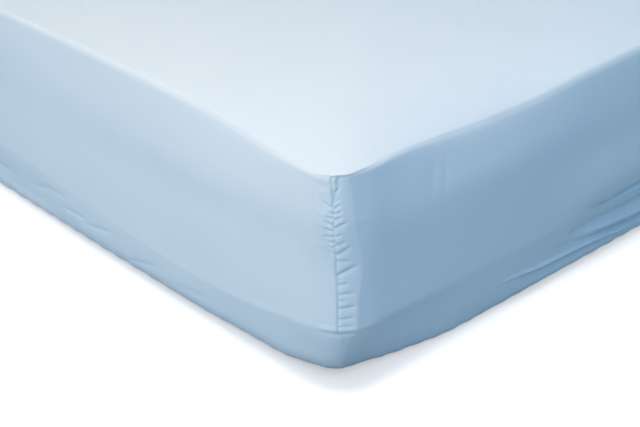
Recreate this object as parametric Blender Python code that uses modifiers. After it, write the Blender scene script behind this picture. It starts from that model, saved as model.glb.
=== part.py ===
"""Fitted sheet pulled over a single mattress, in metres with +Z up.

The length lies along Y and the origin is on the floor, under the middle of the mattress. The cloth is one
flat strip, gridded as it is cut, that is laid round the mattress: a station runs round the outline and a
depth runs from the hem up to the top. Station 0 is the corner seam at +X, -Y.
"""

import math
from collections import namedtuple

import bmesh
import bpy
import numpy as np

# Mattress as it lies in its sheet
WIDTH = 0.900
LENGTH = 2.000
HEIGHT = 0.250
CORNER_RADIUS = 0.057

# Cloth and the room under it
CLOTH = 0.0012
TOUCH_GAP = 0.0003
EDGE_GAP = 0.0020
HEM_INSET = 0.105
HEM_CLEARANCE = 0.003
SEAM_GAP = 0.0036          # room for the gathers, behind a corner seam

# A row of the cloth's section, from the hem up to the flat top. It lies inset + under * turn inside the
# outline, at height z, on an outline with rounded corners of that radius. hip, sag and waist say how far it
# follows the height of the hip line, the slack of the top edge and the hollow of the side, and edge how far
# it draws near the square top edge where that is crisp.
Row = namedtuple("Row", "inset under z radius hip sag waist edge")
SECTION = (
    Row(HEM_INSET, 0.000, 0.000, 0.060, 0.00, 0.0, 0.0, 0.0),   # hem, under the mattress
    Row(0.0000, 0.027, 0.000, 0.040, 0.00, 0.0, 0.0, 0.0),      # where the cloth leaves the floor
    Row(0.0000, 0.014, 0.006, 0.046, 0.10, 0.0, 0.0, 0.0),
    Row(0.0000, 0.007, 0.020, 0.052, 0.30, 0.0, 0.0, 0.0),
    Row(0.0000, 0.003, 0.042, 0.055, 0.64, 0.0, 0.1, 0.0),
    Row(0.0000, 0.000, 0.066, 0.057, 1.00, 0.0, 0.2, 0.0),      # hip, where the side turns under
    Row(0.0000, 0.000, 0.086, 0.057, 0.60, 0.0, 0.3, 0.0),
    Row(0.0000, 0.000, 0.115, 0.057, 0.20, 0.0, 0.7, 0.0),
    Row(0.0000, 0.000, 0.155, 0.057, 0.00, 0.0, 1.0, 0.0),      # waist
    Row(0.0000, 0.000, 0.195, 0.057, 0.00, 0.4, 0.6, 0.0),
    Row(0.0000, 0.000, 0.236, 0.057, 0.00, 1.0, 0.0, 0.6),      # shoulder, below the top edge
    Row(0.0035, 0.000, 0.2445, 0.0535, 0.00, 1.0, 0.0, 0.6),
    Row(0.0110, 0.000, 0.2485, 0.046, 0.00, 0.8, 0.0, 0.4),
    Row(0.0450, 0.000, 0.2496, 0.036, 0.00, 0.3, 0.0, 0.0),
    Row(0.1000, 0.000, HEIGHT, 0.030, 0.00, 0.0, 0.0, 0.0),     # rim of the flat top
)
FLOOR_ROW = 1
SHOULDER_ROW = 10
HIP_HEIGHT = SECTION[5].z
TOUCHING_ROWS = (0, 7, 8, 9, 14)    # where the cloth lies on the mattress

# Stations of the four corner seams, anticlockwise from +X, -Y, and the run of cloth after each
ARC = math.pi / 2 * CORNER_RADIUS
SIDE_RUN = LENGTH - 2 * CORNER_RADIUS
END_RUN = WIDTH - 2 * CORNER_RADIUS
RUNS = (SIDE_RUN, END_RUN, SIDE_RUN, END_RUN)
SEAMS = (0.0, ARC + SIDE_RUN, 2 * ARC + SIDE_RUN + END_RUN, 3 * ARC + 2 * SIDE_RUN + END_RUN)
GIRTH = 4 * ARC + 2 * (SIDE_RUN + END_RUN)
STRIP_START = -(ARC + END_RUN) / 2
CORNER_SIGNS = ((1, -1), (1, 1), (-1, 1), (-1, -1))

# How the cloth hangs round the mattress, at a distance past each corner's seam
Hang = namedtuple("Hang", "corner past hip turn sag waist edge")
HANGS = (
    Hang(0, -0.560, 0.068, 0.80, 0.000, 0.0040, 1.0),
    Hang(0, -0.440, 0.062, 0.80, 0.000, 0.0035, 1.0),
    Hang(0, -0.330, 0.052, 0.80, 0.000, 0.0040, 1.0),
    Hang(0, -0.220, 0.048, 0.85, 0.000, 0.0045, 1.0),
    Hang(0, -0.165, 0.050, 0.90, 0.002, 0.0050, 0.6),
    Hang(0, -0.110, 0.055, 1.00, 0.006, 0.0050, 0.2),
    Hang(0, -0.045, 0.067, 1.50, 0.007, 0.0045, 0.1),
    Hang(0, 0.000, 0.073, 1.90, 0.004, 0.0035, 0.0),
    Hang(0, 0.045, 0.075, 1.50, 0.001, 0.0040, 0.0),
    Hang(0, 0.120, 0.072, 0.75, 0.000, 0.0045, 0.0),
    Hang(0, 0.260, 0.071, 0.55, 0.000, 0.0055, 0.0),
    Hang(0, 0.480, 0.071, 0.55, 0.000, 0.0080, 0.0),
    Hang(0, 0.900, 0.066, 0.75, 0.000, 0.0055, 0.0),
    Hang(1, -0.130, 0.064, 0.85, 0.002, 0.0045, 0.0),
    Hang(1, 0.000, 0.072, 1.85, 0.005, 0.0035, 0.0),
    Hang(1, 0.130, 0.060, 1.00, 0.004, 0.0045, 0.2),
    Hang(1, 0.440, 0.064, 0.95, 0.000, 0.0040, 1.0),
    Hang(2, -0.130, 0.056, 0.95, 0.004, 0.0045, 0.2),
    Hang(2, 0.000, 0.073, 1.90, 0.005, 0.0035, 0.0),
    Hang(2, 0.130, 0.069, 0.85, 0.002, 0.0045, 0.0),
    Hang(2, 0.900, 0.064, 0.75, 0.000, 0.0050, 0.0),
    Hang(3, -0.130, 0.070, 0.80, 0.001, 0.0045, 0.0),
    Hang(3, 0.000, 0.071, 1.80, 0.004, 0.0035, 0.0),
    Hang(3, 0.120, 0.060, 1.00, 0.005, 0.0045, 0.2),
)

# Corner seams: the side that each seam allowance is pressed to, +1 along the stations. The stitched line is
# a groove that splits in two at the top, round a small pleat.
ALLOWANCE_SIDES = (1, -1, 1, -1)
ALLOWANCE_WIDTH = 0.018
ALLOWANCE_EDGE = 0.0025
ALLOWANCE_HEIGHT = 0.0009
ALLOWANCE_TOP = 0.226
ALLOWANCE_FOOT = (0.020, 0.030)
SEAM_LEAN = 0.006
SEAM_LEAN_ENDS = (0.018, 0.026)
SEAM_DEPTH = 0.0011
SEAM_HALF_WIDTH = 0.0015
SEAM_FOOT = (0.010, 0.030)
PLEAT_TOP = 0.241
PLEAT_FOOT = 0.214

# Gathers that the corner seam draws up: height at the seam, how far each rises away from it on the side of
# the allowance and on the plain side, and how far it stands out there
Gather = namedtuple("Gather", "z rise_allowance rise_plain out_allowance out_plain")
GATHERS = (
    Gather(0.2080, 0.0050, 0.0050, 0.0011, 0.0012),
    Gather(0.1985, 0.0040, 0.0035, 0.0013, 0.0011),
    Gather(0.1905, 0.0050, 0.0030, 0.0013, 0.0013),
    Gather(0.1825, 0.0055, 0.0020, 0.0016, 0.0014),
    Gather(0.1745, 0.0050, 0.0010, 0.0012, 0.0015),
    Gather(0.1655, 0.0070, 0.0015, 0.0015, 0.0013),
    Gather(0.1555, 0.0085, 0.0020, 0.0017, 0.0009),
    Gather(0.1385, 0.0085, 0.0020, 0.0019, 0.0004),
    Gather(0.1250, 0.0030, 0.0000, 0.0013, 0.0000),
    Gather(0.1130, 0.0000, 0.0000, 0.0009, 0.0000),
    Gather(0.0985, 0.0000, 0.0000, 0.0011, 0.0002),
    Gather(0.0860, 0.0000, 0.0000, 0.0010, 0.0003),
)
GATHER_HALF_PITCH = 0.0026
GATHER_FULL = 0.005        # distance from the seam at which a gather is fullest
GATHER_AT_SEAM = 0.45      # and its share of that on the seam itself
GATHER_ENDS = (0.009, 0.0195)
RISE_FULL = 0.012
RISE_ENDS = 0.020
RISE_MARGIN = 0.020

# Folds dragged along the lower edge of the +X side: where each starts, is fullest and ends, its height at
# the start and where it is fullest, how far it stands out, or in if negative, and half its width
Fold = namedtuple("Fold", "start full end z_start z_full out half_width")
FOLDS = (
    Fold(0.22, 0.42, 0.78, 0.040, 0.019, 0.0035, 0.007),
    Fold(0.31, 0.48, 0.90, 0.048, 0.042, 0.0050, 0.009),
    Fold(0.35, 0.47, 0.82, 0.073, 0.069, 0.0016, 0.006),
    Fold(0.33, 0.46, 0.80, 0.087, 0.084, -0.0014, 0.007),
)

# Grid of the flat cloth: stations either side of a seam, outer ones last, and the cells between corners
CORNER_COLUMNS = (-0.075, -0.045, -0.026, -0.014, -0.006, -0.0015, 0.0,
                  0.0015, 0.006, 0.012, 0.018, 0.0205, 0.032, 0.045, 0.075)
GATHER_ZONE = (-0.026, 0.032)
CORE_COLUMNS = (-0.075, -0.045, -0.0225, 0.0, 0.0225, 0.045, 0.075)
RUN_CELLS = (25, 6, 14, 8)
FOLD_ZONE = (0.22, 0.92)
FOLD_ROWS = (4, 3, 3, 3)

COTTON_COLOUR = (0.58, 0.74, 0.87)
TICKING_COLOUR = (0.86, 0.85, 0.82)

WELD = 0.00001
SLOPE_STEP = 0.002         # either side of a depth, to find the slope of the section there
ROW_MARGIN = 0.0005        # a crease this near a row of the grid gets no row of its own


def section_depths():
    """Depth of each row, measured along the cloth from the hem."""
    depths = [0.0]
    for low, high in zip(SECTION, SECTION[1:]):
        run = (low.inset + low.under) - (high.inset + high.under)
        depths.append(depths[-1] + math.hypot(run, high.z - low.z))
    return depths


DEPTHS = section_depths()
HANG_STATIONS = [SEAMS[hang.corner] + hang.past for hang in HANGS]


def depth_at(z):
    """Depth of the cloth at a height on the side, below the shoulder."""
    rows = range(1, SHOULDER_ROW + 1)
    return float(np.interp(z, [SECTION[i].z for i in rows], [DEPTHS[i] for i in rows]))


def height_at(depth):
    """Height of the cloth at a depth, before it sags."""
    return float(np.interp(depth, DEPTHS, [row.z for row in SECTION]))


def smooth(value, low, high):
    """0 below low, 1 above high, and a smooth step between."""
    t = min(max((value - low) / (high - low), 0.0), 1.0)
    return t * t * (3 - 2 * t)


def nearest_seam(station):
    """Number of the nearest corner seam, and the signed distance past it."""
    pasts = [(station - seam + GIRTH / 2) % GIRTH - GIRTH / 2 for seam in SEAMS]
    corner = min(range(4), key=lambda k: abs(pasts[k]))
    return corner, pasts[corner]


def hang_at(station, name):
    """One value of the HANGS table at a station."""
    values = [getattr(hang, name) for hang in HANGS]
    return float(np.interp(station, HANG_STATIONS, values, period=GIRTH))


def outline(station, inset, radius):
    """Point and outward normal on the outline drawn in by inset, its corners rounded to radius."""
    def on_corner(k, angle):
        sign_x, sign_y = CORNER_SIGNS[k % 4]
        x = sign_x * (WIDTH / 2 - inset - radius) + radius * math.cos(angle)
        y = sign_y * (LENGTH / 2 - inset - radius) + radius * math.sin(angle)
        return np.array((x, y))

    place = (station + ARC / 2) % GIRTH
    corner = max(k for k in range(4) if SEAMS[k] <= place)
    past = place - SEAMS[corner] - ARC / 2
    end_angle = corner * math.pi / 2
    if past <= ARC / 2:
        angle = end_angle - math.pi / 4 + past / CORNER_RADIUS
        return on_corner(corner, angle), np.array((math.cos(angle), math.sin(angle)))
    share = (past - ARC / 2) / RUNS[corner]
    point = on_corner(corner, end_angle) * (1 - share) + on_corner(corner + 1, end_angle) * share
    return point, np.array((math.cos(end_angle), math.sin(end_angle)))


def section_at(station, depth):
    """Inset, height and corner radius of the hanging cloth, before its small folds."""
    inset, under, z, radius, hip, sag, waist, edge = (
        float(np.interp(depth, DEPTHS, [row[i] for row in SECTION])) for i in range(8)
    )
    crisp = edge * hang_at(station, "edge")
    inset = inset * (1 - crisp) + under * hang_at(station, "turn") + waist * hang_at(station, "waist")
    z += crisp * (HEIGHT - z) + hip * (hang_at(station, "hip") - HIP_HEIGHT) - sag * hang_at(station, "sag")
    return inset, z, radius


def seam_relief(across, depth):
    """How far the seam, its top pleat and its allowance stand out, across the seam."""
    z = height_at(depth)
    groove = SEAM_DEPTH * smooth(z, *SEAM_FOOT) * (1 - smooth(z, PLEAT_TOP, HEIGHT))
    pleat = smooth(z, PLEAT_FOOT, PLEAT_TOP)
    relief = -groove * (1 - pleat) * max(0.0, 1 - abs(across) / SEAM_HALF_WIDTH)
    relief -= groove * pleat * max(0.0, 1 - abs(abs(across) - SEAM_HALF_WIDTH) / SEAM_HALF_WIDTH)
    outer_edge = 1 - smooth(across, ALLOWANCE_WIDTH, ALLOWANCE_WIDTH + ALLOWANCE_EDGE)
    band = smooth(across, 0.0, SEAM_HALF_WIDTH) * outer_edge
    length = smooth(z, *ALLOWANCE_FOOT) * (1 - smooth(z, ALLOWANCE_TOP, HEIGHT))
    return relief + ALLOWANCE_HEIGHT * band * length


def gather_relief(across, depth):
    """How far the gathers at a seam stand out: each is a crease with a ridge below it."""
    away = abs(across)
    spread = GATHER_AT_SEAM + (1 - GATHER_AT_SEAM) * smooth(away, 0.0, GATHER_FULL)
    spread *= 1 - smooth(away, *GATHER_ENDS)
    relief = 0.0
    for gather in GATHERS:
        out = gather.out_allowance if across > 0 else gather.out_plain
        t = (depth - depth_at(gather.z)) / GATHER_HALF_PITCH
        relief -= out * spread * t * math.exp(0.5 * (1 - t * t))
    return relief


def gather_rise(across, depth):
    """How far the cloth beside a seam is drawn up, so that its gathers slant away from the seam."""
    zs = [gather.z for gather in reversed(GATHERS)]
    rises = [gather.rise_allowance if across > 0 else gather.rise_plain for gather in reversed(GATHERS)]
    zs = [zs[0] - RISE_MARGIN] + zs + [zs[-1] + RISE_MARGIN]
    rise = float(np.interp(depth, [depth_at(z) for z in zs], [0.0] + rises + [0.0]))
    zone_end = GATHER_ZONE[1] if across > 0 else -GATHER_ZONE[0]
    return rise * smooth(abs(across), 0.0, RISE_FULL) * (1 - smooth(abs(across), RISE_ENDS, zone_end))


def fold_relief(station, depth):
    """How far the folds dragged along the lower edge stand out."""
    relief = 0.0
    for fold in FOLDS:
        share = (station - fold.start) / (fold.full - fold.start)
        line = depth_at(fold.z_start + (fold.z_full - fold.z_start) * min(share, 1.0))
        size = smooth(station, fold.start, fold.full) * (1 - smooth(station, fold.full, fold.end))
        relief += fold.out * size * math.exp(-((depth - line) / fold.half_width) ** 2)
    return relief


def seam_lean(across, depth):
    """How far the seam leans away from its allowance, towards the top."""
    return SEAM_LEAN * height_at(depth) / HEIGHT * (1 - smooth(abs(across), *SEAM_LEAN_ENDS))


def cloth_point(station, depth):
    """Place in space of a point of the flat strip."""
    corner, past = nearest_seam(station)
    across = past * ALLOWANCE_SIDES[corner]
    relief = fold_relief(station, depth)
    if GATHER_ZONE[0] < across < GATHER_ZONE[1]:
        relief += seam_relief(across, depth) + gather_relief(across, depth)
        station -= ALLOWANCE_SIDES[corner] * seam_lean(across, depth)
        depth += gather_rise(across, depth)
    inset, z, radius = section_at(station, depth)
    point, normal = outline(station, inset, radius)
    point = point + normal * relief
    return float(point[0]), float(point[1]), z


def core_point(station, depth, gap):
    """Place of a point of the mattress, a gap square to the section inside the outside of the cloth."""
    low = section_at(station, max(depth - SLOPE_STEP, 0.0))
    high = section_at(station, min(depth + SLOPE_STEP, DEPTHS[-1]))
    run, rise = high[0] - low[0], high[1] - low[1]
    size = math.hypot(run, rise)
    inset, z, radius = section_at(station, depth)
    inset += gap * rise / size
    z -= gap * run / size
    point, _ = outline(station, inset, radius - gap)
    return float(point[0]), float(point[1]), z


def stations(corner_columns):
    """Stations of the strip's columns, from the middle of the foot end right round to it again."""
    found = []
    wing = corner_columns[-1]
    for corner, seam in enumerate(SEAMS):
        found += [seam + ALLOWANCE_SIDES[corner] * column for column in corner_columns]
        run = RUNS[corner] + ARC - 2 * wing
        cells = RUN_CELLS[corner]
        found += [seam + wing + run * i / cells for i in range(1, cells)]
    found = sorted((station - STRIP_START) % GIRTH + STRIP_START for station in found)
    return [STRIP_START] + [s for s in found if s - STRIP_START > WELD] + [STRIP_START + GIRTH]


def flat_grid(bm, columns, depths):
    """A grid of the flat strip: x is the station and y the depth, with a column and a row at each value."""
    cells_x, cells_y = len(columns) - 1, len(depths) - 1
    made = bmesh.ops.create_grid(bm, x_segments=cells_x, y_segments=cells_y, size=0.5)
    for vert in made["verts"]:
        column = round((vert.co.x + 0.5) * cells_x)
        row = round((vert.co.y + 0.5) * cells_y)
        vert.co = (columns[column], depths[row], 0.0)


def add_rows(bm, in_zone, depth_low, depth_high, new_depths):
    """Cuts the cells of one row that lie in a zone, and moves the cuts to the new depths."""
    if not new_depths:
        return
    cut = []
    for edge in bm.edges:
        low, high = sorted(vert.co.y for vert in edge.verts)
        upright = abs(edge.verts[0].co.x - edge.verts[1].co.x) < WELD
        in_row = abs(low - depth_low) < WELD and abs(high - depth_high) < WELD
        if upright and in_row and in_zone(edge.verts[0].co.x):
            cut.append(edge)
    made = bmesh.ops.subdivide_edges(bm, edges=cut, cuts=len(new_depths), use_grid_fill=True)
    for vert in (item for item in made["geom_inner"] if isinstance(item, bmesh.types.BMVert)):
        index = round((vert.co.y - depth_low) / (depth_high - depth_low) * (len(new_depths) + 1)) - 1
        vert.co.y = new_depths[index]


def in_gather_zone(station):
    corner, past = nearest_seam(station)
    across = past * ALLOWANCE_SIDES[corner]
    return GATHER_ZONE[0] + WELD < across < GATHER_ZONE[1] - WELD


def in_fold_zone(station):
    return FOLD_ZONE[0] < station < FOLD_ZONE[1]


def gather_depths():
    """Depths of the creases and ridges of the gathers."""
    found = []
    for gather in GATHERS:
        middle = depth_at(gather.z)
        found += [middle - GATHER_HALF_PITCH, middle + GATHER_HALF_PITCH]
    return sorted(found)


def fill_flat(bm, edges):
    """Fills a flat hole with a fan of faces round its middle."""
    made = bmesh.ops.edgeloop_fill(bm, edges=edges)
    bmesh.ops.poke(bm, faces=made["faces"])


def wrap(bm, place):
    """Lays the flat strip round the mattress, closes it into a ring and fills its flat top."""
    top = max(vert.co.y for vert in bm.verts)
    rim = [vert for vert in bm.verts if abs(vert.co.y - top) < WELD]
    for vert in bm.verts:
        vert.co = place(vert.co.x, vert.co.y)
    bmesh.ops.remove_doubles(bm, verts=bm.verts, dist=WELD)
    rim = [vert for vert in rim if vert.is_valid]
    fill_flat(bm, [edge for edge in bm.edges if edge.is_boundary and all(vert in rim for vert in edge.verts)])


def make_object(name, bm, material, collection):
    mesh = bpy.data.meshes.new(name)
    bmesh.ops.recalc_face_normals(bm, faces=bm.faces)
    bm.to_mesh(mesh)
    bm.free()
    mesh.materials.append(material)
    mesh.shade_smooth()
    thing = bpy.data.objects.new(name, mesh)
    collection.objects.link(thing)
    return thing


def make_material(name, colour, roughness):
    material = bpy.data.materials.new(name)
    material.use_nodes = True
    shader = material.node_tree.nodes["Principled BSDF"]
    shader.inputs["Base Color"].default_value = (*colour, 1.0)
    shader.inputs["Roughness"].default_value = roughness
    shader.inputs["Metallic"].default_value = 0.0
    return material


def make_sheet(collection):
    """The fitted sheet: top, sides, four gathered corner seams and the hem turned under, in one cloth."""
    bm = bmesh.new()
    flat_grid(bm, stations(CORNER_COLUMNS), DEPTHS)
    creases = gather_depths()
    for low, high in zip(DEPTHS, DEPTHS[1:]):
        between = [depth for depth in creases if low + ROW_MARGIN < depth < high - ROW_MARGIN]
        add_rows(bm, in_gather_zone, low, high, between)
    for row, cuts in enumerate(FOLD_ROWS, start=FLOOR_ROW + 1):
        low, high = DEPTHS[row], DEPTHS[row + 1]
        even = [low + (high - low) * (i + 1) / (cuts + 1) for i in range(cuts)]
        add_rows(bm, in_fold_zone, low, high, even)
    bmesh.ops.triangulate(bm, faces=[face for face in bm.faces if len(face.verts) > 4])
    wrap(bm, cloth_point)
    cotton = make_material("pale_blue_cotton", COTTON_COLOUR, 0.85)
    sheet = make_object("fitted_sheet", bm, cotton, collection)
    thicken = sheet.modifiers.new("cloth", "SOLIDIFY")
    thicken.thickness = CLOTH
    thicken.offset = -1.0
    thicken.use_even_offset = True
    return sheet


def make_mattress(collection):
    """The plain mattress that fills the sheet. Its underside steps up over the hem and rests on the floor."""
    touching = CLOTH + TOUCH_GAP
    clear = CLOTH + EDGE_GAP
    gaps = [touching if row in TOUCHING_ROWS else clear for row in range(len(SECTION))]
    ledge = HEM_INSET + HEM_CLEARANCE
    foot_rows = {-2: 0.0, -1: touching}

    def place(station, depth):
        if depth < -WELD:
            point, _ = outline(station, ledge, SECTION[0].radius)
            return float(point[0]), float(point[1]), foot_rows[round(depth)]
        row = min(range(len(DEPTHS)), key=lambda i: abs(DEPTHS[i] - depth))
        gap = gaps[row]
        if row > FLOOR_ROW and abs(nearest_seam(station)[1]) < CORNER_RADIUS:
            gap = max(gap, CLOTH + SEAM_GAP)
        return core_point(station, DEPTHS[row], gap)

    bm = bmesh.new()
    flat_grid(bm, stations(CORE_COLUMNS), [-2.0, -1.0] + DEPTHS[1:])
    wrap(bm, place)
    fill_flat(bm, [edge for edge in bm.edges if edge.is_boundary])
    ticking = make_material("plain_ticking", TICKING_COLOUR, 0.9)
    return make_object("mattress", bm, ticking, collection)


def main():
    for thing in list(bpy.data.objects):
        bpy.data.objects.remove(thing)
    collection = bpy.data.collections.new("fitted_sheet_on_mattress")
    bpy.context.scene.collection.children.link(collection)
    make_mattress(collection)
    make_sheet(collection)


main()
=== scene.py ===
import math

import bmesh
import bpy
import numpy as np
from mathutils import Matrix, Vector, noise


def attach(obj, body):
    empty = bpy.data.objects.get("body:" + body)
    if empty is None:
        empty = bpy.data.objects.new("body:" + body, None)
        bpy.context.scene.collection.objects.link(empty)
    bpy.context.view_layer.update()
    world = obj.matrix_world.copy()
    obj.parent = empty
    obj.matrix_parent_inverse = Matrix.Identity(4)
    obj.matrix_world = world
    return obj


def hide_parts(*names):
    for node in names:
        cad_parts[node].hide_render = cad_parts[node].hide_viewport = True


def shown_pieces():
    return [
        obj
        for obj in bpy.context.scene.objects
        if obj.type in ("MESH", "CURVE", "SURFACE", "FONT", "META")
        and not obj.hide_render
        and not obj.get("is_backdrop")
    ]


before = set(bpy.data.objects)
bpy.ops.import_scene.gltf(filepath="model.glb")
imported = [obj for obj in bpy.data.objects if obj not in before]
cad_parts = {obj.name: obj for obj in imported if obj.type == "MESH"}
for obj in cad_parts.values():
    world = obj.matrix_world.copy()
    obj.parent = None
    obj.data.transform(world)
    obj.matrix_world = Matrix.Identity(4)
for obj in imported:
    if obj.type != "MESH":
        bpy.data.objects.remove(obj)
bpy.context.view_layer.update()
print("frame loaded:", ", ".join(sorted(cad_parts)))

# The photo looks down at the corner at +X, -Y. Lengths are in metres, angles in degrees and the lens in mm.
cameraSet = {
    "place": (1.2642, -1.7915, 0.8459),
    "down": 29.11,
    "turn": 46.75,
    "lens": 81.56,
    "sensor": 36.0,
    "nearest": 0.05,
    "farthest": 60.0,
}


def makeCamera():
    data = bpy.data.cameras.new("photo_camera")
    data.lens = cameraSet["lens"]
    data.sensor_width = cameraSet["sensor"]
    data.clip_start = cameraSet["nearest"]
    data.clip_end = cameraSet["farthest"]
    camera = bpy.data.objects.new("photo_camera", data)
    camera.location = cameraSet["place"]
    camera.rotation_euler = (math.radians(90 - cameraSet["down"]), 0.0, math.radians(cameraSet["turn"]))
    bpy.context.scene.collection.objects.link(camera)
    bpy.context.scene.camera = camera


makeCamera()
print("camera placed")

# size of the bed as it lies in its sheet; the corner radius is that of the outline seen from above
bed = {"width": 0.9, "length": 2.0, "height": 0.25, "cornerRadius": 0.057, "hipHeight": 0.066}

# Lengths round the outline. A station is a length round it, from the corner at +X, -Y towards +Y, and a depth
# is a length up the cloth from its hem. The cloth is one strip, cut half way along the far long side.
arc = math.pi / 2 * bed["cornerRadius"]
sideRun = bed["length"] - 2 * bed["cornerRadius"]
endRun = bed["width"] - 2 * bed["cornerRadius"]
runs = np.array((sideRun, endRun, sideRun, endRun))
seams = np.array((0.0, arc + sideRun, 2 * arc + sideRun + endRun, 3 * arc + 2 * sideRun + endRun))
girth = 4 * arc + 2 * (sideRun + endRun)
stripStart = -(arc + endRun) - (arc + sideRun) / 2
cornerSigns = np.array(((1, -1), (1, 1), (-1, 1), (-1, -1)))
allowanceSides = np.array((1, -1, 1, -1))    # the side of each seam that its allowance is pressed to
weld = 1e-5    # points nearer than this are one
hair = 1e-6    # lengths below this are none
apart = 5e-4    # columns of a grid are at least this far from its ends

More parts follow.
